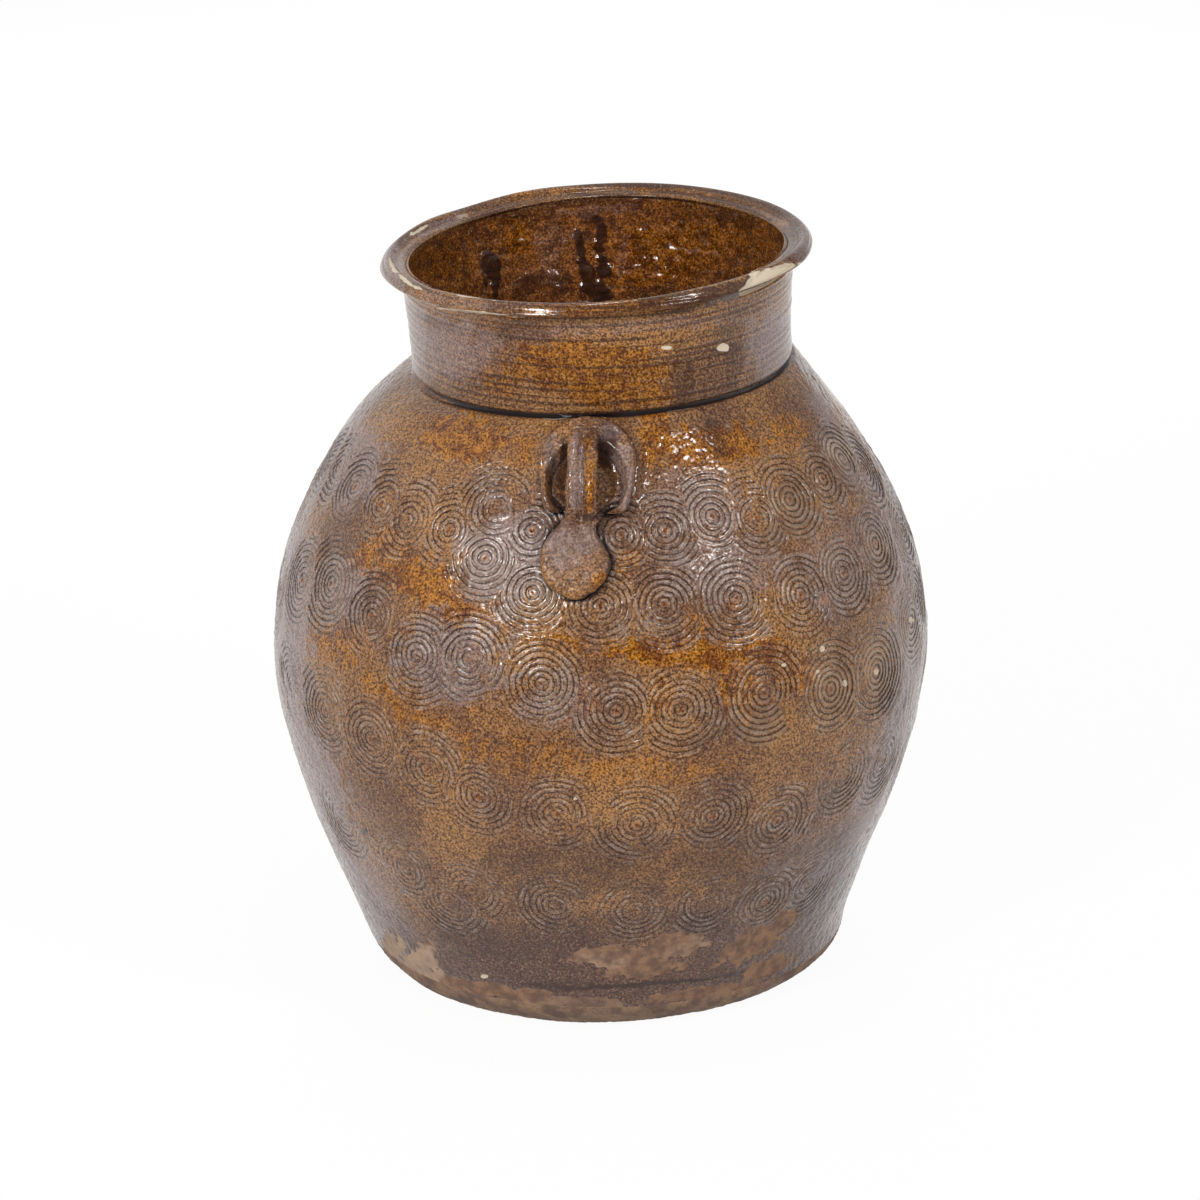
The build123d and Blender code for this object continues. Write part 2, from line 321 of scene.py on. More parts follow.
inside_marks = {
    "amber": (
        (665, 250, 60, 26, 0, 1.0), (520, 238, 26, 26, 0, 0.6), (730, 245, 40, 26, 0, 0.5),
        (440, 262, 30, 20, 0, 0.5), (630, 280, 40, 10, 0, 0.5),
    ),
    "dark": (
        (490, 268, 9, 15, -8, 1.0), (494, 286, 5, 10, 0, 0.8), (581, 252, 4, 16, -8, 1.0),
        (588, 274, 6, 14, -24, 1.0), (601, 232, 5, 18, 6, 0.9), (603, 262, 6, 20, -4, 1.0),
        (597, 290, 14, 10, 0, 1.0), (513, 215, 5, 3, 0, 0.8), (600, 219, 8, 5, 0, 0.8),
        (740, 218, 24, 8, 12, 0.5), (410, 255, 12, 16, 0, 0.4), (530, 285, 20, 10, 0, 0.5),
        (520, 262, 14, 6, 0, 0.4), (560, 285, 12, 12, 0, 0.5), (650, 292, 50, 5, 0, 0.4),
    ),
    "grey": ((552, 246, 16, 30, 10, 0.2), (596, 210, 40, 7, -3, 0.25), (622, 256, 6, 22, 0, 0.2)),
}
lug_marks = {
    "matte": ((577, 556, 40, 48, 0, 1.0), (626, 470, 16, 44, 0, 0.7)),
    "amber": (
        (590, 482, 4, 32, 1, 0.9), (588, 446, 3, 12, 10, 0.6), (600, 582, 14, 12, 30, 0.7),
        (586, 424, 20, 5, 0, 0.4), (590, 560, 12, 16, 20, 0.4),
    ),
    "grey": (
        (576, 470, 7, 46, 0, 0.55), (563, 550, 22, 24, 0, 0.35), (552, 450, 8, 24, 0, 0.4),
        (622, 478, 14, 34, 0, 0.5), (590, 540, 16, 14, 0, 0.3), (612, 430, 14, 10, 0, 0.3),
    ),
    # Dark: painted shade in the lug's hollows, painted shadow along the pad's right and lower edges, and
    # darker glaze on the pad
    "dark": (
        (564, 466, 5, 30, 0, 0.7), (607, 446, 12, 16, 0, 0.8), (611, 562, 3, 30, 8, 0.7),
        (594, 594, 18, 3, -24, 0.7), (550, 500, 8, 10, 0, 0.4), (586, 517, 16, 5, 0, 0.6),
        (551, 470, 6, 32, 0, 0.6), (582, 470, 2, 40, 2, 0.6), (600, 428, 30, 14, 0, 0.4),
        (545, 440, 10, 22, 10, 0.45), (577, 555, 34, 42, 0, 0.3), (560, 590, 16, 8, 20, 0.35),
    ),
}

# Painted shade darkens the wall in the lug's scoops, and the wall round the lug has no rings
scoop_shade_marks = ((606, 450, 13, 18, 0, 0.8), (609, 482, 15, 18, 0, 0.35), (562, 470, 7, 30, 0, 0.6))
plain_marks = ((590, 460, 46, 44, 0, 1.0),)

course_names = ("foot_course", "lower_course", "belly_course", "upper_course", "shoulder_course")


def smooth(value):
    """Smooth step from 0 at 0 to 1 at 1."""
    value = np.clip(value, 0, 1)
    return value * value * (3 - 2 * value)


def unit(vector):
    return vector / np.linalg.norm(vector, axis=-1, keepdims=True)


def direction(azimuth, elevation):
    """Direction by its degrees from the front towards the right, and upwards."""
    turn, rise = radians(azimuth), radians(elevation)
    return np.array([sin(turn) * cos(rise), -cos(turn) * cos(rise), sin(rise)])


def waves(points, wavelength, seed, count=14):
    """Soft seeded noise of about -1 to 1: a sum of plane waves in random directions."""
    random = np.random.default_rng(seed)
    directions = unit(random.normal(size=(count, 3)))
    lengths = wavelength * random.uniform(0.75, 1.35, count)
    phases = random.uniform(0, 2 * pi, count)
    total = np.zeros(points.shape[:-1])
    for direction, length, phase in zip(directions, lengths, phases):
        total += np.cos(points @ (direction * 2 * pi / length) + phase)
    return total / np.sqrt(count / 2) / 1.6


def vertex_vectors(mesh, kind):
    """Places or normals of a mesh's vertices."""
    values = np.empty(len(mesh.vertices) * 3)
    mesh.vertices.foreach_get(kind, values)
    return values.reshape(-1, 3)


def add_object(name, data):
    """A new object in the scene."""
    added = bpy.data.objects.new(name, data)
    bpy.context.scene.collection.objects.link(added)
    return added


def pose(across, up, back, place):
    """Matrix that turns an object's axes to directions and moves it to a place, in metres."""
    turn = Matrix(np.stack([across, up, back], axis=1).tolist()).to_4x4()
    return Matrix.Translation(place.tolist()) @ turn


# Camera
class Camera:
    """The photograph's camera, used to place what is seen in it on the jar."""

    def __init__(self):
        azimuth = radians(camera_azimuth)
        roll = radians(camera_roll)
        self.back = direction(camera_azimuth, camera_elevation)
        level_right = np.array([cos(azimuth), sin(azimuth), 0.0])
        level_up = np.cross(self.back, level_right)
        self.right = level_right * cos(roll) + level_up * sin(roll)
        self.up = level_up * cos(roll) - level_right * sin(roll)
        self.eye = np.array([0.0, 0.0, camera_target_height]) + self.back * camera_distance

    def pixels(self, points):
        """Pixels of the photograph that show points."""
        offset = points - self.eye
        scale = -focal_pixels / (offset @ self.back)
        across = offset @ self.right * scale
        down = -(offset @ self.up) * scale
        return np.stack([across, down], axis=-1) + image_size / 2

    def place(self):
        """Put the camera in the scene."""
        data = bpy.data.cameras.new("camera")
        data.sensor_width = sensor_width
        data.lens = sensor_width * focal_pixels / image_size
        data.clip_end = camera_reach
        holder = add_object("camera", data)
        holder.matrix_world = pose(self.right, self.up, self.back, self.eye * MM)
        bpy.context.scene.camera = holder


camera = Camera()
camera.place()


# The frames of the body and of the neck
class TurnedFrame:
    """A leaning axis with a centre: turns radius, height and angle into points and back."""

    def __init__(self, centre, angle):
        lean = radians(angle)
        self.centre = np.array(centre)
        self.across = np.array([cos(lean), 0, -sin(lean)])
        self.axis = np.array([sin(lean), 0, cos(lean)])

    def leaning(self, angle):
        """Directions square to the axis, at angles."""
        side = self.across * np.sin(angle)[..., None]
        return side - np.array([0, 1.0, 0]) * np.cos(angle)[..., None]

    def point(self, radius, height, angle, level):
        """Points; their level share turns the radius from leaning with the axis to lying level."""
        flat = np.stack([np.sin(angle), -np.cos(angle), np.zeros_like(angle)], axis=-1)
        outward = self.leaning(angle) * (1 - level) + flat * level
        return self.centre + self.axis * height + outward * radius

    def local(self, points):
        """Radius, height and angle of points."""
        offset = points - self.centre
        x = offset @ self.across
        y = offset[..., 1]
        return np.hypot(x, y), offset @ self.axis, np.arctan2(x, -y)


lean = radians(body_lean)
foot_centre = (-belly_height * sin(lean), 0, belly_height - belly_height * cos(lean))
body = TurnedFrame(foot_centre, body_lean)
body_top = (seat_height - foot_centre[2]) / cos(lean)
neck_centre = ((seat_height - belly_height) * tan(lean) + neck_offset, 0, seat_height)
neck = TurnedFrame(neck_centre, -neck_tilt)


# The wall's outline, read from the part
def curve_through(chosen):
    """Smooth curve of the radius over the height through chosen points of the wall."""
    return np.polynomial.Chebyshev.fit(wall_height[chosen], wall_radius[chosen], curve_degree)


def upper_hull(across, up):
    """Corners of the convex line that lies over points, from left to right."""
    hull = []
    corners = set(zip(across.round(2), up.round(2)))
    for point in sorted(corners, key=lambda corner: (corner[0], -corner[1])):
        while len(hull) > 1:
            (x0, y0), (x1, y1) = hull[-2:]
            if (x1 - x0) * (point[1] - y0) < (y1 - y0) * (point[0] - x0):
                break
            hull.pop()
        hull.append(point)
    return np.array(hull).T


wall_points = [vertex_vectors(nodes[name].data, "co") / MM for name in course_names]
wall_radius, wall_height = body.local(np.concatenate(wall_points))[:2]
hull_height, hull_radius = upper_hull(wall_height, wall_radius)
wall_depth = np.interp(wall_height, hull_height, hull_radius) - wall_radius
outside_radius = curve_through(wall_depth < outside_skin)
inside_radius = curve_through(wall_depth > inside_skin)


class Outline:
    """A curve in radius and height that is followed by its length."""

    def __init__(self, radius, height):
        self.radius = np.asarray(radius, float)
        self.height = np.asarray(height, float)
        steps = np.hypot(np.diff(self.radius), np.diff(self.height))
        self.length = np.concatenate([[0], np.cumsum(steps)])

    def at(self, length):
        """Radius and height at lengths."""
        radius = np.interp(length, self.length, self.radius)
        return radius, np.interp(length, self.length, self.height)


def arc(centre, radius, start, end):
    """Points of an arc, its angles in degrees from outward towards up."""
    count = int(abs(radians(end - start)) * radius / outline_step) + 2
    angle = np.radians(np.linspace(start, end, count))
    return centre[0] + radius * np.cos(angle), centre[1] + radius * np.sin(angle)


def spaced(start, end, step):
    """Lengths from start to end, evenly spaced at about a step."""
    return np.linspace(start, end, max(2, int(round(abs(end - start) / step)) + 1))


# The outside runs from the floor up the slab's rounded edge and the wall to the neck's seat
flare = radians(foot_flare)
chord = np.array([underside_radius - foot_radius, -edge_depth - slab_thickness])
edge_radius = chord @ chord / (2 * chord @ np.array([-cos(flare), sin(flare)]))
edge_centre = (foot_radius - edge_radius * cos(flare), slab_thickness + edge_radius * sin(flare))
edge_height = spaced(-foot_centre[2], slab_thickness, outline_step)
edge_out = edge_centre[0] + np.sqrt(edge_radius ** 2 - (edge_height - edge_centre[1]) ** 2)
wall_rise = spaced(slab_thickness, body_top, outline_step)[1:]
outside = Outline(
    np.concatenate([edge_out, outside_radius(wall_rise)]),
    np.concatenate([edge_height, wall_rise]),
)
slab_length = outside.length[len(edge_out) - 1]
seat_length = outside.length[-1]
inside_rise = spaced(body_top, slab_thickness, outline_step)
inside = Outline(inside_radius(inside_rise), inside_rise)

# The neck runs up the collar, round the lip and down the bore; the lip's top swells to a crest
mouth_radius = bore_radius + bore_flare
mouth_edge = mouth_radius + lip_inside_edge
roll_centre = (lip_radius - lip_thickness / 2, lip_top - lip_thickness / 2)
under_width = roll_centre[0] - collar_top_radius
under_height = lip_top - lip_thickness - collar_height
under_radius = (under_width ** 2 + under_height ** 2) / (2 * under_height)
under_end = 180 - np.degrees(np.arcsin((under_radius - under_height) / under_radius))
top_radius = spaced(roll_centre[0], mouth_edge, outline_step)[1:-1]
lip_parts = [
    arc((roll_centre[0], lip_top - lip_thickness - under_radius), under_radius, under_end, 90),
    arc(roll_centre, lip_thickness / 2, -90, 90),
    (top_radius, np.full(len(top_radius), lip_top)),
    arc((mouth_edge, lip_top - lip_inside_edge), lip_inside_edge, 90, 180),
]
lip_parts = [np.array(part) for part in lip_parts]
lip_crest = (lip_radius + mouth_radius) / 2 + crest_shift
for part in lip_parts[1:]:
    beside = np.abs(part[0] - lip_crest) / (lip_radius - lip_crest)
    part[1] -= lip_crown * np.minimum(beside, 1) ** 2 * smooth((part[1] - lip_top) / lip_thickness + 1)
collar_rise = spaced(0, collar_height, outline_step)[:-1]
collar_share = collar_rise / collar_height
collar_out = neck_radius + (collar_top_radius - neck_radius) * collar_share
collar_out = collar_out - collar_waist * 4 * collar_share * (1 - collar_share)
bore_fall = spaced(lip_top - lip_inside_edge, 0, outline_step)[1:]
bore_in = bore_radius + bore_flare * smooth(bore_fall / collar_height)
lip_curve = np.concatenate([[collar_out, collar_rise]] + lip_parts + [[bore_in, bore_fall]], axis=1)
neck_outline = Outline(*lip_curve)
collar_end = neck_outline.length[len(collar_rise)]
bore_start = neck_outline.length[-1] - collar_height - collar_joint_rise
neck_end = neck_outline.length[-1]


def mark_shade(point, normal, marks, mirrored=False, edge=0.5, ragged=0.25):
    """Shade of marks at points that face the camera; mirrored ones show at the back too."""
    torn = ragged * (0.7 * waves(point, 9, 51) + 0.5 * waves(point, 3.4, 52))
    if mirrored:
        front = np.where(point[..., 1:2] > 0, -1.0, 1.0) * [0, 1, 0] + [1, 0, 1]
        point = point * front
        normal = normal * front
    pixel = camera.pixels(point)
    facing = smooth(((camera.eye - point) * normal).sum(-1) / camera_distance / facing_blur)
    shade = np.zeros(point.shape[:-1])
    for x, y, width, height, turn, strength in marks:
        across = pixel[..., 0] - x
        down = pixel[..., 1] - y
        along = across * cos(radians(turn)) + down * sin(radians(turn))
        beside = down * cos(radians(turn)) - across * sin(radians(turn))
        distance = np.hypot(along / width, beside / height) + torn
        shade = np.maximum(shade, strength * facing * smooth((1 + edge / 2 - distance) / edge))
    return shade


class Surface:
    """A grid of points round the jar with its normals, and what is painted and pressed on it."""

    def __init__(self, turned, outline, length):
        self.length = length
        self.angle = (np.arange(columns) / columns - 0.5) * 2 * pi
        radius, height = outline.at(length)
        row_radius = radius[:, None] * np.ones(columns)
        row_height = height[:, None] * np.ones(columns)
        angle = np.ones(len(length))[:, None] * self.angle
        level = self.level_share(turned, height)[:, None, None]
        self.height = height
        self.shape(turned.point(row_radius[..., None], row_height[..., None], angle, level))
        self.fields = {}
        self.pixel = None
        self.hidden = None

    def shape(self, point):
        """Take points as the smooth form that is painted and pressed later."""
        self.smooth_point = point
        self.smooth_normal = self.normals(point)
        self.point = point

    def meet(self, other, reach):
        """Bend the rows near an end so that the last one is the first one of another surface."""
        share = smooth((self.height - body_top + reach) / reach)[:, None, None]
        row = self.smooth_point[self.height.argmax()]
        self.shape(self.smooth_point + share * (other - row))

    def tilt_seat(self, reach, last_length):
        """Lower the neck's foot at the left and lift it at the right, less with the distance from it."""
        side = np.sin(self.angle)
        lift = seat_tilt * side - seat_sag * side ** 2
        share = smooth(1 - np.abs(self.smooth_point[..., 2] - seat_height) / reach)
        share = share * (self.length <= last_length)[:, None]
        self.shape(self.smooth_point + (share * lift)[..., None] * [0, 0, 1])

    def warp_foot(self):
        """Shift the foot to the right and hollow the wall above it at that side."""
        side = np.sin(self.angle)
        rise = self.smooth_point[..., 2]
        shift = (foot_shift + foot_spread * side) * smooth(1 - rise / foot_reach)
        beside = np.exp(-((rise - hollow_height) / hollow_reach) ** 2)
        hollow = hollow_depth * np.maximum(side, 0) ** 2 * beside
        moved = self.smooth_point - self.smooth_normal * hollow[..., None]
        self.shape(moved + shift[..., None] * [1, 0, 0])

    def sag_rim(self):
        """Lower and draw in the rim where the fire made it sag."""
        degrees, sags = np.array(rim_sag, float).T
        blur = np.linspace(-sag_blur, sag_blur, 9)
        turn = np.degrees(self.angle)
        sag = np.mean([np.interp(turn + shift, degrees, sags, period=360) for shift in blur], axis=0)
        start = collar_height / 3
        share = smooth((self.height - start) / (lip_top - start))[:, None]
        inward = neck.leaning(self.angle) * (sag * sag_inward)[:, None]
        down = np.array([0, 0, 1.0]) * (sag * sag_down)[:, None]
        self.shape(self.smooth_point - share[..., None] * (inward + down))

    def level_share(self, turned, height):
        """Share of lying level: all of it at the neck's foot and at both ends of the body."""
        share = smooth(1 - height / level_reach)
        if turned is neck:
            return share
        return share + smooth((height - body_top + level_top) / level_top)

    def normals(self, point):
        """Directions square to a grid of points."""
        across = np.roll(point, -1, axis=1) - np.roll(point, 1, axis=1)
        along = np.gradient(point, axis=0)
        return unit(np.cross(across, along))

    def waves(self, strength, wavelength, seed, count=14, squash=1):
        """Soft waves on the smooth form, drawn out where the squash is small."""
        return strength * waves(self.smooth_point * squash, wavelength, seed, count)

    def layers(self, base, *layers):
        """A base value with soft waves on it."""
        return sum((self.waves(*layer) for layer in layers), base)

    def press(self, depth):
        """Move the surface inward by a depth at each point."""
        self.point = self.point - self.smooth_normal * depth[..., None]

    def press_grooved(self, depth, distance):
        """Press the surface and, by each row's distance, the dark groove round the neck's foot."""
        groove = np.exp(-(distance / groove_width) ** 2)[:, None]
        self.press(np.maximum(depth, 0) * (1 - groove) + groove_depth * groove)
        self.cover("dark", groove_black * np.exp(-(distance / groove_line) ** 2)[:, None])

    def field(self, name):
        """A painted value at each point, 0 until something is painted."""
        return self.fields.setdefault(name, np.zeros(self.point.shape[:2]))

    def seen_index(self, x, y):
        """Index of the point of the smooth surface that the photograph shows at a pixel."""
        if self.pixel is None:
            self.pixel = camera.pixels(self.smooth_point)
            to_camera = camera.eye - self.smooth_point
            self.hidden = (to_camera * self.smooth_normal).sum(-1) < 0
        distance = np.hypot(self.pixel[..., 0] - x, self.pixel[..., 1] - y)
        return (distance + image_size * self.hidden).argmin()

    def seen_at(self, x, y):
        """The point that the photograph shows at a pixel."""
        return self.smooth_point.reshape(-1, 3)[self.seen_index(x, y)]

    def near(self, centre, reach):
        """The rows that come within reach of a point."""
        rows = np.flatnonzero(np.abs(self.smooth_point[..., 2] - centre[2]).min(axis=1) < reach)
        return slice(rows[0], rows[-1] + 1) if len(rows) else slice(0, 0)

    def cover(self, name, shade, rows=slice(None)):
        """Paint a shade wherever it is stronger than what is there."""
        field = self.field(name)
        field[rows] = np.maximum(field[rows], shade)

    def paint(self, name, marks, rows=slice(None), **style):
        """Paint marks on some rows."""
        shade = mark_shade(self.smooth_point[rows], self.smooth_normal[rows], marks, **style)
        self.cover(name, shade, rows)


def joined(*lengths):
    """One run of lengths out of several that share their ends, and where each lies in it."""
    slices = []
    start = 0
    for part in lengths:
        slices.append(slice(start, start + len(part)))
        start += len(part) - 1
    return np.concatenate([lengths[0]] + [part[1:] for part in lengths[1:]]), slices


def joint_inside(length):
    """Length on the inside at which the bevelled joint from the outside comes out."""
    radius, height = outside.at(length)
    nearby = np.array([length - outline_step, length + outline_step])
    step_radius, step_height = (np.diff(part)[0] for part in outside.at(nearby))
    tangent = unit(np.array([step_radius, step_height]))
    normal = np.array([tangent[1], -tangent[0]])
    inward = -normal * cos(radians(joint_bevel)) - tangent * sin(radians(joint_bevel))
    side = (inside.radius - radius) * inward[1] - (inside.height - height) * inward[0]
    way = -1 if side[0] > side[-1] else 1
    return np.interp(0, side[::way], inside.length[::way])


wall_length = seat_length - slab_length
joints = [slab_length + wall_length * index / course_count for index in range(course_count + 1)]
steps = [foot_step] + [wall_step] * (course_count - 1)
outside_runs = [spaced(0, slab_length, foot_step)]
outside_runs += [spaced(*ends, step) for *ends, step in zip(joints, joints[1:], steps)]
outside_length, outside_rows = joined(*outside_runs)
inside_joints = [inside.length[-1]] + [joint_inside(length) for length in joints[1:-1]] + [0]
inside_runs = [spaced(*ends, inside_step) for ends in zip(inside_joints[::-1], inside_joints[-2::-1])]
inside_length, inside_rows = joined(*inside_runs)
neck_ends = (0, collar_end, bore_start, neck_end)
neck_runs = [spaced(*ends, neck_step) for ends in zip(neck_ends, neck_ends[1:])]
neck_length, neck_rows = joined(*neck_runs)
wall = Surface(body, outside, outside_length)
lining = Surface(body, inside, inside_length)
throat = Surface(neck, neck_outline, neck_length)
wall.warp_foot()
throat.sag_rim()
wall.meet(throat.smooth_point[0], seat_bend)
lining.meet(throat.smooth_point[-1], seat_bend)
throat.tilt_seat(collar_reach, collar_end)
wall.tilt_seat(shoulder_reach, seat_length)

# Stamps, row by row from the neck down: radius, strength and centres in the photograph
stamp_rows = (
    (17.0, 1.0, (
        (337, 465), (353, 486), (380, 503), (407, 519), (448, 530), (484, 557), (495, 510),
        (532, 530), (622, 534), (666, 530), (714, 515), (759, 518), (792, 498), (824, 478), (844, 459),
    )),
    (17.5, 1.0, (
        (532, 592), (601, 605), (665, 605), (737, 599), (803, 594), (846, 572), (878, 543),
        (904, 530), (914, 621),
    )),
    (18.5, 1.0, (
        (300, 580), (328, 583), (369, 615), (415, 656), (467, 659), (541, 684), (616, 712),
        (682, 710), (766, 693), (833, 690), (879, 672),
    )),
    (18.0, 0.75, (
        (288, 684), (322, 712), (369, 740), (426, 770), (478, 797), (557, 815), (637, 826),
        (714, 818), (779, 824), (846, 776), (884, 761),
    )),
    (17.0, 0.6, (
        (340, 820), (405, 870), (449, 902), (469, 891), (554, 908), (636, 912), (709, 904),
        (766, 902), (810, 885),
    )),
)
# The same rows behind: height, radius, strength and how many go round the jar
back_rows = (
    (212, 17.0, 1.0, 22), (190, 17.5, 1.0, 20), (160, 18.5, 1.0, 22), (122, 18.0, 0.75, 20),
    (88, 17.0, 0.6, 18),
)


def stamp(centre, radius, strength):
    """Press concentric rings; where stamps meet, the one that ranks higher shows."""
    radius = radius * stamp_spread * random.uniform(*stamp_sizes)
    rows = wall.near(centre, radius)
    offset = wall.smooth_point[rows] - centre
    distance = np.linalg.norm(offset, axis=-1) + ring_wobble[rows]

    # One side is pressed deeper than the other
    turn = random.uniform(0, 2 * pi)
    tipping = np.array([cos(turn), sin(turn) * 0.6, sin(turn) * 0.8])
    tipped = np.clip(0.95 + stamp_tipping * (offset @ tipping) / radius, 0.05, 1.2)
    share = distance / radius
    rank = (1 - share) * random.uniform(*stamp_ranks) * (0.7 + 0.3 * strength)
    weight = strength * tipped * smooth((1 - share) / stamp_fade)
    dish = stamp_dish * strength * tipped * (1 - 0.6 * share ** 2)
    best = wall.field("best")
    shows = rank > best[rows]
    second = wall.field("second")
    second[rows] = np.where(shows, best[rows], np.maximum(second[rows], rank))
    best[rows] = np.where(shows, rank, best[rows])
    for name, value in (("ring_weight", weight), ("ring_radius", distance), ("dish", dish)):
        field = wall.field(name)
        field[rows] = np.where(shows, value, field[rows])


ring_wobble = wall.layers(*ring_wobbles)
random = np.random.default_rng(stamp_seed)
for radius, strength, centres in stamp_rows:
    for x, y in centres:
        stamp(wall.seen_at(x, y), radius, strength)
for height, radius, strength, count in back_rows:
    for index in range(count):
        angle = 2 * pi * index / count
        if abs(angle - pi) > back_span:
            continue
        row = np.abs(wall.height - height + random.uniform(-row_jitter, row_jitter)).argmin()
        angle += random.uniform(-column_jitter, column_jitter)
        column = int((angle + pi) / (2 * pi) * columns) % columns
        stamp(wall.smooth_point[row, column], radius, strength)

lead = wall.fields.pop("best") - wall.fields.pop("second")
seam = smooth(lead / stamp_seam)
wall.fields["dish"] *= smooth(lead / dish_seam)
patchy = np.clip(wall.layers(*ring_patches), 0.1, 1)
plain = mark_shade(wall.smooth_point, wall.smooth_normal, plain_marks, True, 0.2, 0.1)
wall.fields["ring_weight"] = wall.field("ring_weight") * seam * patchy * (1 - plain)
ring_weight = wall.field("ring_weight")
ring_wave = 0.5 + 0.5 * np.cos(2 * pi * wall.field("ring_radius") / ring_pitch)
depth = wall.layers(*wall_uneven) + wall.layers(*wall_coils) + wall.layers(*wall_pits)
depth = depth + wall.fields.pop("dish") + ring_depth * ring_weight * ring_wave ** 2.2
wall.press_grooved(depth, seat_length - wall.length)

# Paint on the body: pools, worn glaze with painted grazing sheen at the sides and painted glints on
# ridges, painted shade in the lug's scoops, and the bare clay below the glaze's edge
for name, marks in body_marks.items():
    wall.paint(name, marks, mirrored=True, edge=0.7, ragged=0.3)
# Painted shade in the lug's scoops
wall.paint("dark", scoop_shade_marks, mirrored=True, edge=0.8)
# Painted grazing sheen: grey patches along the jar's left and right sides
at_side = smooth((np.abs(np.sin(wall.angle)) - 0.9) / 0.09)
wall.cover("grey", np.clip(wall.layers(*side_sheen_patches), 0, 0.9) * at_side)
wall.paint("cream", cream_marks, edge=0.5, ragged=0.15)
wall.paint("bare", bare_marks, mirrored=True, edge=0.25, ragged=0.3)
wall.cover("bare", smooth((wall.layers(*bare_edge) - wall.smooth_point[..., 2]) / bare_blur))
wall.press(bare_depth * wall.field("bare") + speck_depth * wall.field("cream"))

# Neck: throwing lines, the groove round its foot, and the worn and chipped lip
turning = throat.layers(*neck_turning)
for name, marks in collar_marks.items():
    throat.paint(name, marks, neck_rows[0], mirrored=name != "cream", edge=0.9)
for name, marks in lip_marks.items():
    throat.paint(name, marks, neck_rows[1], ragged=0.35)
throat.paint("chip", chip_marks, neck_rows[1], edge=0.3, ragged=0.15)
for name, marks in inside_marks.items():
    throat.paint(name, marks, neck_rows[2], edge=0.8, ragged=0.5)
    lining.paint(name, marks, edge=0.8, ragged=0.5)
throat.cover("deep", smooth((throat.length - bore_start + deep_reach) / deep_reach)[:, None])
lining.cover("deep", 1.0)
turning = turning * (1 - 0.7 * throat.field("deep"))
throat.fields["turning"] = np.clip(turning, 0, 1)
chip = throat.fields.pop("chip")
raised = run_rise * throat.field("dark") * throat.field("deep")
raised = raised + throat.layers(*inside_blobs) * throat.field("deep")
throat.press(chip_depth * chip + lip_speck_depth * throat.field("cream") - raised)
throat.cover("cream", chip)
throat.press_grooved(throat.layers(0.3 + 0.16 * turning, neck_uneven), throat.length)
lining.press(lining.layers(*inside_coils))

# The neck's foot and the body's seat are one line, outside and inside
throat.point[0] = wall.point[-1]
throat.point[-1] = lining.point[0]


def grid_index(row_count):
    """Numbers of a grid's points, and of their neighbours round the jar."""
    index = np.arange(row_count * columns).reshape(row_count, columns)
    return index, np.roll(index, -1, axis=1)


def strip_map(steps):
    """Corners of each face in a map of the band, cut into sectors that lie side by side."""
    sector_columns = columns // map_sectors
    column = np.arange(columns)
    start = (column % sector_columns) / sector_columns
    end = start + 1 / sector_columns
    sector = column // sector_columns
    height = np.append(np.cumsum(steps) - steps, steps.sum()) / steps.sum()
    low, high = height[:-1, None], height[1:, None]
    span = 1 - 2 * map_margin
    left, right = (map_margin + part * span for part in (start, end))
    bottom, top = ((sector + map_margin + part * span) / map_sectors for part in (low, high))
    across = np.stack(np.broadcast_arrays(left, right, right, left), axis=-1) + 0 * bottom[..., None]
    up = np.stack([bottom, bottom, top, top], axis=-1)
    return np.stack([across, up], axis=-1)


def add_field(mesh, name, values):
    """Give a mesh a painted value at each vertex."""
    attribute = mesh.attributes.new(name, "FLOAT", "POINT")
    attribute.data.foreach_set("value", values.ravel().astype(np.float32))


def make_mesh(name, point, normal, fields, faces, corners):
    """A mesh object out of arrays: faces of four or three corners, and their map."""
    mesh = bpy.data.meshes.new(name)
    mesh.vertices.add(len(point))
    mesh.vertices.foreach_set("co", (point * MM).ravel())
    loops = np.concatenate([part.ravel() for part in faces])
    sizes = np.concatenate([np.full(len(part), part.shape[1]) for part in faces])
    mesh.loops.add(len(loops))
    mesh.loops.foreach_set("vertex_index", loops)
    mesh.polygons.add(len(sizes))
    mesh.polygons.foreach_set("loop_start", np.cumsum(sizes) - sizes)
    mesh.update(calc_edges=True)
    layer = mesh.uv_layers.new(name="OFBake")
    layer.uv.foreach_set("vector", corners.ravel())
    for field_name, values in fields.items():
        add_field(mesh, field_name, values)
    mesh.shade_smooth()
    if normal is not None:
        mesh.normals_split_custom_set_from_vertices(normal)
    return add_object(name, mesh)


field_names = (
    "ring_weight", "ring_radius", "amber", "grey", "dark", "bare", "cream", "wear_and_glint", "deep", "turning",
    "matte",
)


def band(name, *parts):
    """A closed band of the wall: runs of rows round the jar, joined end to end in a ring."""
    point = np.concatenate([surface.point[rows] for surface, rows in parts])
    normal = np.concatenate([surface.normals(surface.point)[rows] for surface, rows in parts])
    fields = {
        key: np.concatenate([surface.field(key)[rows] for surface, rows in parts])
        for key in field_names
    }
    index, beside = grid_index(len(point))
    quads = np.stack([index, beside, np.roll(beside, -1, axis=0), np.roll(index, -1, axis=0)], axis=-1)
    steps = np.linalg.norm(np.roll(point, -1, axis=0) - point, axis=-1).mean(axis=1)
    faces = [quads.reshape(-1, 4)]
    return make_mesh(
        name, point.reshape(-1, 3), normal.reshape(-1, 3), fields, faces, strip_map(steps)
    )


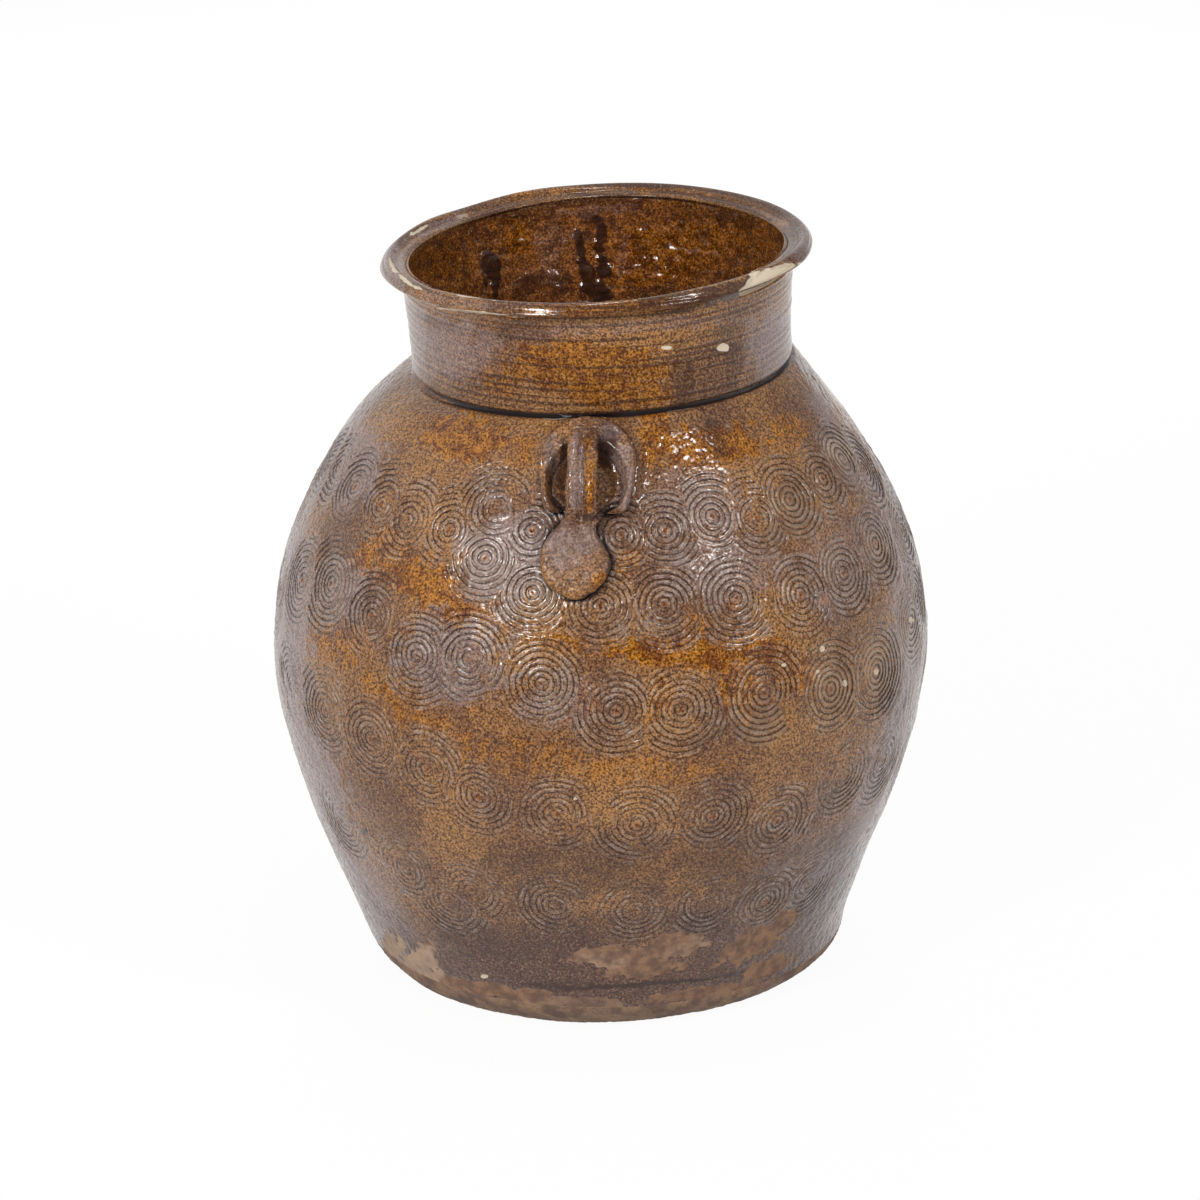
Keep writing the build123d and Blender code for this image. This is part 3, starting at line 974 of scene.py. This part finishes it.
def disc(edge, swell, seed):
    """Rings that close a round edge, the last one close to its middle."""
    middle = edge.mean(axis=0)
    rings = np.array([middle + (edge - middle) * share for share in disc_shares])
    bulge = swell * (1 - disc_shares ** 2)[:, None]
    lumps = disc_lumps * waves(rings, 45, seed) * (1 - disc_shares ** 8)[:, None]
    rings[..., 2] += bulge + lumps
    return rings


def flat_map(rings, left):
    """Place of each point of a disc in its square of the map."""
    middle = rings[-1].mean(axis=0)
    spread = np.abs(rings - middle)[..., :2].max()
    return (rings - middle)[..., :2] / spread * (0.25 - map_margin) + [left + 0.25, 0.25]


def base_slab():
    """The slab: its underside, the rounded foot edge and the floor of the jar."""
    edge = wall.point[outside_rows[0]]
    under = disc(edge[0], underside_hollow, 31)[::-1]
    floor_rings = disc(lining.point[-1], floor_swell, 32)
    point = np.concatenate([under, edge, lining.point[-1:], floor_rings])
    row_count = len(point)
    index, beside = grid_index(row_count)
    quads = np.stack([index[:-1], beside[:-1], beside[1:], index[1:]], axis=-1)
    first, last = len(under), len(under) + len(edge)
    steps = np.linalg.norm(np.diff(edge, axis=0), axis=-1).mean(axis=1)
    steps = np.append(steps, joint_width)
    corners = np.zeros((row_count - 1, columns, 4, 2))
    strip = strip_map(steps)
    corners[first:last] = strip.reshape(len(edge), columns, 4, 2) * [1, 0.5] + [0, 0.5]
    under_map = flat_map(point[:first + 1][::-1], 0.0)[::-1]
    floor_map = flat_map(point[last:], 0.5)
    for start, end, place in ((0, first, under_map), (last, row_count - 1, floor_map)):
        near, far = place[:-1], place[1:]
        corners[start:end] = np.stack(
            [near, np.roll(near, -1, axis=1), np.roll(far, -1, axis=1), far], axis=-2
        )
    tips = np.array([point[0].mean(axis=0), point[-1].mean(axis=0)])
    low = np.stack([beside[0], index[0], np.full(columns, row_count * columns)], axis=-1)
    high = np.stack([index[-1], beside[-1], np.full(columns, row_count * columns + 1)], axis=-1)
    low_map = np.stack([corners[0, :, 1], corners[0, :, 0], np.full((columns, 2), 0.25)], axis=-2)
    high_map = np.stack(
        [corners[-1, :, 3], corners[-1, :, 2], np.full((columns, 2), 0.25) + [0.5, 0]], axis=-2
    )
    vertices = np.concatenate([point.reshape(-1, 3), tips])
    places = np.concatenate([part.reshape(-1, 2) for part in (corners, low_map, high_map)])
    faces = [quads.reshape(-1, 4), low, high]
    return make_mesh("base_slab_clay", vertices, None, {}, faces, places)


# Lugs: the three pressed-on pieces of clay become one, softened and sunk a little into the wall
def cast(side):
    """One mesh out of a lug's CAD pieces, with its corners gone soft."""
    points, faces = [], []
    for name in lug_nodes(side):
        mesh = nodes[name].data
        faces += [[len(points) + corner for corner in polygon.vertices] for polygon in mesh.polygons]
        points += [vertex.co for vertex in mesh.vertices]
    mesh = bpy.data.meshes.new(side)
    mesh.from_pydata(points, [], faces)
    piece = add_object(side + "_lug_glazed", mesh)
    remesh = piece.modifiers.new("remesh", "REMESH")
    remesh.mode = "VOXEL"
    remesh.voxel_size = lug_voxel * MM
    soften = piece.modifiers.new("soften", "SMOOTH")
    soften.factor = 0.5
    soften.iterations = lug_softening
    evaluated = piece.evaluated_get(bpy.context.evaluated_depsgraph_get())
    piece.data = bpy.data.meshes.new_from_object(evaluated)
    piece.modifiers.clear()
    piece.data.name = piece.name
    return piece


def lug_nodes(side):
    """The part's own names for a lug's pieces of clay."""
    return [side + "_lug_" + part for part in ("apron", "pad", "strap")]


def smear(point):
    """Raise the wall in a soft fillet round a lug, with painted shadow where they meet."""
    tree = KDTree(len(point))
    for index, place in enumerate(point):
        tree.insert(place, index)
    tree.balance()
    flat = wall.point.reshape(-1, 3)
    near = np.flatnonzero(np.linalg.norm(flat - point.mean(axis=0), axis=1) < lug_reach)
    distance = np.array([tree.find(place)[2] for place in flat[near]])
    beside_apron = smooth((flat[near, 2] - strap_foot) / smear_reach)
    rise = smear_height * smooth(1 - distance / smear_reach) * beside_apron
    flat[near] += wall.smooth_normal.reshape(-1, 3)[near] * rise[:, None]
    # Painted shadow on the wall along the lug's edge, strongest beside the pad
    dark = wall.field("dark").reshape(-1)
    seam = smooth(1 - distance / seam_shadow_reach) * (seam_shadow_strength - beside_apron)
    dark[near] = np.maximum(dark[near], seam)


def lug(side):
    """A lug: its pad slipped to one side, its edges uneven, its foot sunk into the wall."""
    piece = cast(side)
    mesh = piece.data
    point = vertex_vectors(mesh, "co") / MM
    normal = vertex_vectors(mesh, "normal")
    radius, height, angle = body.local(point)
    above = radius - outside_radius(height)
    slip = pad_slip * smooth((strap_foot - point[:, 2]) / pad_slip_length)
    lumps = lug_lumps * waves(point, 11, 41) + lug_chips * np.clip(waves(point, 5, 42), -1, 0.3)
    sink = lug_sink * smooth(1 - above / lug_contact)
    point = point - body.leaning(angle) * sink[:, None] + normal * lumps[:, None]
    taper = pad_taper * smooth((point[:, 2] - pad_middle[1]) / (strap_foot - pad_middle[1]))
    taper = taper * smooth((strap_foot + taper_blur - point[:, 2]) / (2 * taper_blur))
    point[:, 0] += slip - taper * (point[:, 0] - pad_middle[0] - slip)
    mesh.vertices.foreach_set("co", (point * MM).ravel())
    mesh.update()
    mesh.shade_smooth()
    normal = vertex_vectors(mesh, "normal")
    for key in field_names:
        values = np.zeros(len(point))
        if key in lug_marks:
            values = mark_shade(point, normal, lug_marks[key], True, 0.6, 0.2)
        # Painted shadow on the lug's foot where it meets the wall
        if key == "dark":
            crack_shadow = smooth((lug_sink + crack_shadow_height - above) / crack_shadow_height)
            values = np.maximum(values, crack_shadow_strength * crack_shadow)
        add_field(mesh, key, values)
    smear(point)
    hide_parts(*lug_nodes(side))
    return piece


# Pieces
pieces = [base_slab(), lug("front"), lug("back")]
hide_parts("base_slab")
for index, name in enumerate(course_names):
    runs = (wall, outside_rows[index + 1]), (lining, inside_rows[course_count - 1 - index])
    piece = band(name + "_glazed", *runs)
    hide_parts(name)
    pieces.append(piece)
collar = band("neck_collar_glazed", (throat, neck_rows[0]), (throat, neck_rows[2]))
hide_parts("neck_collar")
lip = band("rim_lip_glazed", (throat, neck_rows[1]))
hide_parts("rim_lip")
pieces += [collar, lip]


# Materials
class Shader:
    """Builds the nodes of a material or of the room."""

    def __init__(self, owner):
        owner.use_nodes = True
        self.owner = owner
        self.tree = owner.node_tree
        self.tree.nodes.clear()
        self.places = self.node("ShaderNodeTexCoord").outputs
        self.base = None

    def node(self, kind, settings=None, **inputs):
        """A node with its settings and inputs, each a value or another node's output."""
        node = self.tree.nodes.new(kind)
        for key, value in (settings or {}).items():
            setattr(node, key, value)
        for key, value in inputs.items():
            self.set(node.inputs[key.replace("_", " ")], value)
        return node

    def set(self, socket, value):
        if isinstance(value, bpy.types.NodeSocket):
            self.tree.links.new(value, socket)
        else:
            socket.default_value = value

    def calculate(self, operation, *values):
        node = self.node("ShaderNodeMath", {"operation": operation})
        for socket, value in zip(node.inputs, values):
            self.set(socket, value)
        return node.outputs[0]

    def add(self, *values):
        return self.calculate("ADD", *values)

    def times(self, *values):
        return self.calculate("MULTIPLY", *values)

    def step(self, value, low, high, start=0.0, end=1.0, kind="SMOOTHSTEP"):
        """A value's rise from start, at low, to end, at high."""
        node = self.node("ShaderNodeMapRange", {"interpolation_type": kind}, Value=value)
        for key, number in zip(("From Min", "From Max", "To Min", "To Max"), (low, high, start, end)):
            self.set(node.inputs[key], number)
        return node.outputs[0]

    def noise(self, size, detail, roughness):
        """Noise whose features are about a size in millimetres."""
        scale = 1 / (size * MM)
        return self.node(
            "ShaderNodeTexNoise", Vector=self.places["Object"], Scale=scale, Detail=detail,
            Roughness=roughness,
        ).outputs[0]

    def field(self, name):
        """A value painted on the mesh."""
        return self.node("ShaderNodeAttribute", {"attribute_name": name}).outputs["Fac"]

    def part(self, vector, axis):
        """One number of a vector."""
        return self.node("ShaderNodeSeparateXYZ", Vector=vector).outputs[axis]

    def mix(self, share, first, second):
        """A share of the second colour over the first, numbers as they look on the screen."""
        node = self.node("ShaderNodeMix", {"data_type": "RGBA"}, Factor=share)
        sockets = [socket for socket in node.inputs if socket.type == "RGBA"]
        for socket, value in zip(sockets, (first, second)):
            self.set(socket, linear_colour(value) if isinstance(value, tuple) else value)
        return next(socket for socket in node.outputs if socket.type == "RGBA")

    def coat(self, share, tone):
        """Lay a colour over what the material has so far."""
        self.base = self.mix(share, self.base, tone)

    def ceramic(self, rough, relief, depth):
        """End the material as fired clay with this roughness and a relief of this depth."""
        bump = self.node("ShaderNodeBump", Strength=1.0, Distance=depth, Height=relief)
        return self.finish(self.node(
            "ShaderNodeBsdfPrincipled", Base_Color=self.base, Roughness=rough, Normal=bump.outputs[0]
        ))

    def finish(self, surface, kind="ShaderNodeOutputMaterial"):
        self.node(kind, Surface=surface.outputs[0])
        return self.owner


def linear_colour(screen):
    """The render's own numbers for a colour that is written as it looks, 0 to 255."""
    values = np.array(screen) / 255
    linear = np.where(values <= 0.04045, values / 12.92, ((values + 0.055) / 1.055) ** 2.4)
    return (*linear.tolist(), 1.0)


def glaze():
    """Amber pools and dense dark speckle over brown; worn grey on ridges, painted grey sheen at the sides,
    painted highlights and glints, bare clay at the foot.
    """
    shader = Shader(bpy.data.materials.new("amber_brown_glaze"))
    add, times, step = shader.add, shader.times, shader.step
    field, mix, coat = shader.field, shader.mix, shader.coat
    speck = shader.noise(0.9, 4.0, 0.75)
    grain = shader.noise(0.7, 1.0, 0.5)
    mottle = shader.noise(5.0, 3.0, 0.6)
    cloud = shader.noise(42.0, 3.0, 0.55)
    height = shader.part(shader.places["Object"], "Z")
    low = step(add(height, times(cloud, 0.06)), 0.115, 0.06)

    # Glaze: brown to tan in clouds, darker towards the foot, partly its own tone and partly painted shade,
    # with brighter amber pools
    tone = step(add(cloud, times(mottle, 0.35)), 0.5, 0.85)
    shader.base = mix(tone, (124, 86, 58), (172, 122, 68))
    coat(times(low, 0.85), (92, 68, 62))
    pool = step(add(times(field("amber"), 1.2), times(mottle, 0.9)), 0.75, 1.2)
    coat(times(pool, 0.88), mix(step(mottle, 0.36, 0.6), (120, 62, 4), (186, 118, 14)))
    deep = field("deep")
    coat(times(deep, 0.85), mix(step(mottle, 0.3, 0.7), (68, 32, 8), (160, 92, 20)))
    shade = add(times(field("dark"), 1.1), times(add(speck, mottle), 0.45))
    dark = step(shade, 0.55, 1.3)
    coat(times(dark, 0.9), mix(deep, (46, 32, 30), (20, 12, 10)))
    line = step(add(field("turning"), times(speck, 0.5)), 0.42, 0.75)
    coat(times(line, 0.7), (66, 38, 24))

    # Speckle: a dark net, black dots in the pools, and pale flecks painted as tiny glints
    painted_glint = times(step(speck, 0.44, 0.34), add(1.0, times(dark, -0.8)))
    coat(times(painted_glint, 0.45), (200, 166, 126))
    net = step(speck, 0.47, 0.56, 0.0, 0.9)
    coat(net, mix(pool, (62, 36, 32), (58, 24, 5)))
    dots = times(step(grain, 0.62, 0.72), step(mottle, 0.4, 0.6))
    coat(times(dots, 0.7), (40, 24, 18))

    # Grey: worn glaze in patches and on the rings' ridges, and painted grazing sheen at the jar's sides,
    # with a thin dark line beside each ridge
    weight = field("ring_weight")
    wobble = times(add(grain, -0.5), 0.9)
    ring = times(add(field("ring_radius"), wobble), 2 * pi / ring_pitch)
    wave = shader.calculate("COSINE", ring)
    lagging = shader.calculate("COSINE", add(ring, -1.0))
    ridge = times(step(wave, 0.5, -0.5), step(weight, 0.05, 0.6))
    groove = times(step(lagging, 0.78, 0.96), step(weight, 0.1, 0.7))
    worn_and_sheen = step(add(field("grey"), times(mottle, 0.7)), 0.35, 1.15)
    coat(times(worn_and_sheen, 0.75), mix(step(speck, 0.4, 0.62), (158, 138, 134), (106, 86, 84)))
    broken = step(add(mottle, times(field("grey"), 0.6)), 0.42, 0.8, 0.12, 0.8)
    coat(times(ridge, broken), mix(step(speck, 0.42, 0.6), (160, 142, 132), (88, 70, 64)))
    # A thin pale line beside each ridge's dark line: partly worn glaze, partly a painted highlight
    leading = shader.calculate("COSINE", add(ring, 1.5))
    lit_crest = times(step(leading, 0.8, 0.97), step(weight, 0.15, 0.7))
    lit_crest = times(lit_crest, step(mottle, 0.4, 0.6))
    coat(times(lit_crest, 0.6), (178, 160, 146))
    coat(times(groove, 0.85), (40, 26, 24))
    eye = times(step(field("ring_radius"), 1.6, 0.8), step(weight, 0.1, 0.4))
    eye = times(eye, step(mottle, 0.35, 0.6, 0.2, 0.9))
    coat(eye, mix(net, (160, 88, 14), (60, 26, 12)))
    # Cream painted glints on the rings' ridges where the body's wear marks lie
    cream = times(times(field("wear_and_glint"), ridge), step(speck, 0.5, 0.56))
    coat(times(cream, 0.8), (196, 176, 146))
    # Black where the dark field runs high: the groove round the neck's foot and the painted shadow along
    # the lug's pad
    coat(step(field("dark"), 1.05, 1.35), (26, 18, 18))

    # Bare clay and chips
    clay_tone = mix(step(mottle, 0.35, 0.65), (110, 82, 67), (150, 114, 86))
    clay_tone = mix(step(speck, 0.5, 0.66, 0.0, 0.6), clay_tone, (86, 62, 52))
    pale = step(add(field("wear_and_glint"), times(mottle, 1.2)), 0.7, 1.9, 0.0, 0.62)
    clay_tone = mix(pale, clay_tone, (190, 166, 144))
    torn = times(add(speck, -0.5), 0.5)
    bare = step(add(field("bare"), torn), 0.35, 0.6)
    coat(bare, clay_tone)
    chipped = step(add(field("cream"), torn), 0.3, 0.55)
    coat(chipped, (212, 196, 172))

    # Gloss: wet on the pools, duller where worn and where the sides are painted grey, dull on clay
    dry = shader.calculate("MAXIMUM", bare, chipped)
    matte = field("matte")
    rough = add(add(times(worn_and_sheen, 0.08), 0.09), times(ridge, 0.04))
    rough = shader.calculate("MAXIMUM", add(rough, times(matte, 0.16)), times(dry, 0.75))
    relief = add(times(speck, add(times(matte, 0.35), 0.09)), times(groove, -0.5))
    relief = add(add(relief, times(ridge, 0.35)), times(mottle, 0.6))
    return shader.ceramic(rough, relief, 0.0004)


def clay():
    """Matt tan clay with a fine grit."""
    shader = Shader(bpy.data.materials.new("bare_tan_clay"))
    mottle = shader.noise(9.0, 3.0, 0.6)
    grit = shader.noise(0.8, 2.0, 0.6)
    shader.base = shader.mix(shader.step(mottle, 0.35, 0.65), (104, 80, 68), (150, 120, 94))
    shader.coat(shader.step(grit, 0.5, 0.65, 0.0, 0.5), (84, 64, 56))
    return shader.ceramic(0.75, grit, 0.0003)


brown_glaze = glaze()
bare_clay = clay()
for piece in pieces:
    is_base = piece.name.startswith("base_slab")
    piece.data.materials.append(bare_clay if is_base else brown_glaze)
    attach(piece, "root")


# Stage: a pale floor, a pale room and four soft lamps
def floor():
    """A floor that looks evenly pale to the camera, and darker in front where the jar mirrors it."""
    shader = Shader(bpy.data.materials.new("pale_floor"))
    diffuse = shader.node("ShaderNodeBsdfDiffuse", Color=(0.9, 0.9, 0.9, 1))
    path = shader.node("ShaderNodeLightPath").outputs
    along = shader.part(shader.places["Object"], "Y")
    mirrored = shader.step(along, -0.6, 0.2, dull_floor, 1.0)
    strength = shader.calculate("MAXIMUM", path["Is Camera Ray"], mirrored)
    glow = shader.node("ShaderNodeEmission", Color=(1, 1, 1, 1), Strength=strength)
    seen = shader.calculate("MAXIMUM", path["Is Camera Ray"], path["Is Glossy Ray"])
    mixed = shader.node("ShaderNodeMixShader", Fac=shader.times(seen, floor_glow))
    shader.set(mixed.inputs[1], diffuse.outputs[0])
    shader.set(mixed.inputs[2], glow.outputs[0])
    mesh = bpy.data.meshes.new("floor")
    corners = [(x * floor_reach, y * floor_reach, 0) for x, y in ((-1, -1), (1, -1), (1, 1), (-1, 1))]
    mesh.from_pydata(corners, [], [(0, 1, 2, 3)])
    mesh.materials.append(shader.finish(mixed))
    piece = add_object("floor", mesh)


def room():
    """A room that looks evenly pale; in reflections its front is dark and its right side dimmer."""
    world = bpy.data.worlds.new("room")
    bpy.context.scene.world = world
    shader = Shader(world)
    path = shader.node("ShaderNodeLightPath").outputs
    way = shader.places["Generated"]
    sides = shader.step(shader.part(way, "X"), -0.2, 0.6, 1.0, dim_right, "LINEAR")
    mirrored = shader.step(shader.part(way, "Y"), -0.95, -0.2, dark_front, sides, "LINEAR")
    glow = shader.step(path["Is Glossy Ray"], 0.0, 1.0, room_light, mirrored, "LINEAR")
    strength = shader.calculate("MAXIMUM", path["Is Camera Ray"], glow)
    shader.finish(shader.node("ShaderNodeBackground", Strength=strength), "ShaderNodeOutputWorld")


def lamp(name, seen, normal, size, power):
    """A square soft lamp that a surface at a seen point, with this normal, mirrors to the camera."""
    to_camera = unit(camera.eye - seen)
    away = unit(2 * (to_camera @ normal) * normal - to_camera)
    data = bpy.data.lights.new(name, "AREA")
    data.shape = "SQUARE"
    data.size = size
    data.energy = power
    side = unit(np.cross([0, 1.0, 0], away))
    holder = add_object(name, data)
    holder.matrix_world = pose(side, np.cross(away, side), away, away * lamp_distance + seen * MM)
    return holder


def gleam_lamp(name, gleam, size, power):
    """A lamp whose gleam on the wall is seen at a pixel of the photograph."""
    index = wall.seen_index(*gleam)
    seen, normal = (part.reshape(-1, 3)[index] for part in (wall.smooth_point, wall.smooth_normal))
    lamp(name, seen, normal, size, power)


floor()
room()
gleam_lamp("left_softbox", left_gleam, *left_lamp)
gleam_lamp("right_softbox", right_gleam, *right_lamp)
lamp("top_softbox", neck.centre, direction(camera_azimuth, top_gleam_rise), *top_lamp)
back_normal = unit(camera.back + unit(np.array(back_light)))
lamp("back_softbox", neck.centre, back_normal, *back_lamp).visible_glossy = False

bpy.context.scene.view_settings.view_transform = "Standard"
